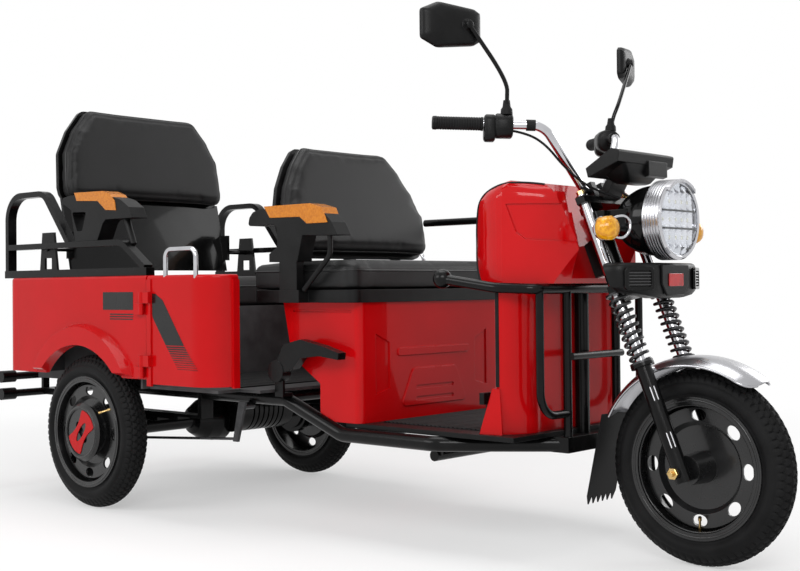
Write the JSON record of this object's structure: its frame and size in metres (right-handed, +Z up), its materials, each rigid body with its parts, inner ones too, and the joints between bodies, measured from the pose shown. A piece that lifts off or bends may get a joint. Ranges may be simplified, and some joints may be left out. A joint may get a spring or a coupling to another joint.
{
  "type": "electric cargo tricycle",
  "caption": "Electric passenger and cargo tricycle with a sprung front fork, a rider seat over the battery box and a rear tub with a bench seat.",
  "frame": {"origin": "centre of the overall box on the ground", "axes": "+X forward, +Y to the rider's left, +Z up"},
  "size_m": [2.6099, 1.02, 1.3242],
  "materials": {
    "red_paint": "gloss paint",
    "black_paint": "satin black paint",
    "wheel_black": "semi gloss black paint",
    "silver_paint": "polished",
    "chrome": "bright chrome",
    "spring_steel": "dark spring steel",
    "tyre": "matte rubber",
    "seat_cover": "black seat cover",
    "black_plastic": "moulded black plastic",
    "gloss_black": "gloss black plastic",
    "red_plastic": "gloss red plastic",
    "rubber": "soft rubber",
    "amber_lens": "clear amber",
    "red_lens": "clear red",
    "headlamp_lens": "clear",
    "floor_sheet": "grey paint"
  },
  "bodies": {
    "chassis": {"frame": "black_paint", "rear_bumper": "black_paint", "front_guard": "black_paint", "head_tube": "black_paint", "floorboard": "black_plastic", "leg_shield": "red_paint", "cowl": "red_plastic", "battery_box": "red_paint", "seat_base": "black_plastic", "rider_cushion": "seat_cover", "rider_backrest": "seat_cover", "rider_backrest_shell": "black_plastic", "rider_armrest_right": "black_plastic", "rider_armrest_left": "black_paint", "tub_rear_wall": "red_paint", "tub_side_right": "red_paint", "tub_side_left": "red_paint", "tub_floor": "floor_sheet", "rear_cushion": "seat_cover", "side_rail_right": "black_paint", "side_rail_left": "black_paint", "backrest_brackets": "black_paint", "rear_armrests": "black_plastic", "armrest_reflectors": "amber_lens", "tail_lamps": "red_lens", "rear_axle": "black_paint", "leaf_springs": "black_paint", "hand_brake": "black_paint", "brake_linkage": "spring_steel", "brake_pedal": "black_paint"},
    "steering": {"fork_legs": "black_paint", "fork_tubes": "chrome", "fork_springs": "spring_steel", "triple_clamps": "black_paint", "front_axle": "spring_steel", "handlebar": "chrome", "grips": "rubber", "switch_pods": "black_plastic", "mirrors": "black_plastic", "dash": "black_plastic", "headlight_bucket": "gloss_black", "headlight_bezel": "silver_paint", "headlight_lens": "headlamp_lens", "horn_box": "black_plastic", "turn_signals": "amber_lens", "front_fender": "silver_paint", "mud_flap": "rubber"},
    "front_wheel": {"front_tyre": "tyre", "front_rim": "wheel_black"},
    "rear_wheel_right": {"rear_tyre_right": "tyre", "rear_rim_right": "wheel_black"},
    "rear_wheel_left": {"rear_tyre_left": "tyre", "rear_rim_left": "wheel_black"},
    "right_door": {"door_right": "red_paint", "door_handle_right": "chrome"},
    "left_door": {"door_left": "red_paint", "door_handle_left": "chrome"},
    "passenger_backrest": {"rear_backrest": "seat_cover", "rear_backrest_shell": "gloss_black"}
  },
  "joints": [
    {"name": "steering_turn", "type": "hinge", "parent": "chassis", "child": "steering", "pos_m": [1.0379, 0, 0.215], "axis": [-0.3746, 0, 0.9272], "range_deg": [-35, 35]},
    {"name": "front_wheel_spin", "type": "hinge", "parent": "steering", "child": "front_wheel", "pos_m": [1.075, 0, 0.23], "axis": [0, 1, 0], "continuous": true},
    {"name": "rear_wheel_right_spin", "type": "hinge", "parent": "chassis", "child": "rear_wheel_right", "pos_m": [-0.715, -0.4445, 0.23], "axis": [0, 1, 0], "continuous": true},
    {"name": "rear_wheel_left_spin", "type": "hinge", "parent": "chassis", "child": "rear_wheel_left", "pos_m": [-0.715, 0.4445, 0.23], "axis": [0, 1, 0], "continuous": true},
    {"name": "right_door_swing", "type": "hinge", "parent": "chassis", "child": "right_door", "pos_m": [-0.415, -0.497, 0.54], "axis": [0, 0, -1], "range_deg": [0, 95]},
    {"name": "left_door_swing", "type": "hinge", "parent": "chassis", "child": "left_door", "pos_m": [-0.415, 0.497, 0.54], "axis": [0, 0, 1], "range_deg": [0, 95]},
    {"name": "passenger_backrest_fold", "type": "hinge", "parent": "chassis", "child": "passenger_backrest", "pos_m": [-1.013, 0, 0.79], "axis": [0, 1, 0], "range_deg": [0, 60]}
  ]
}
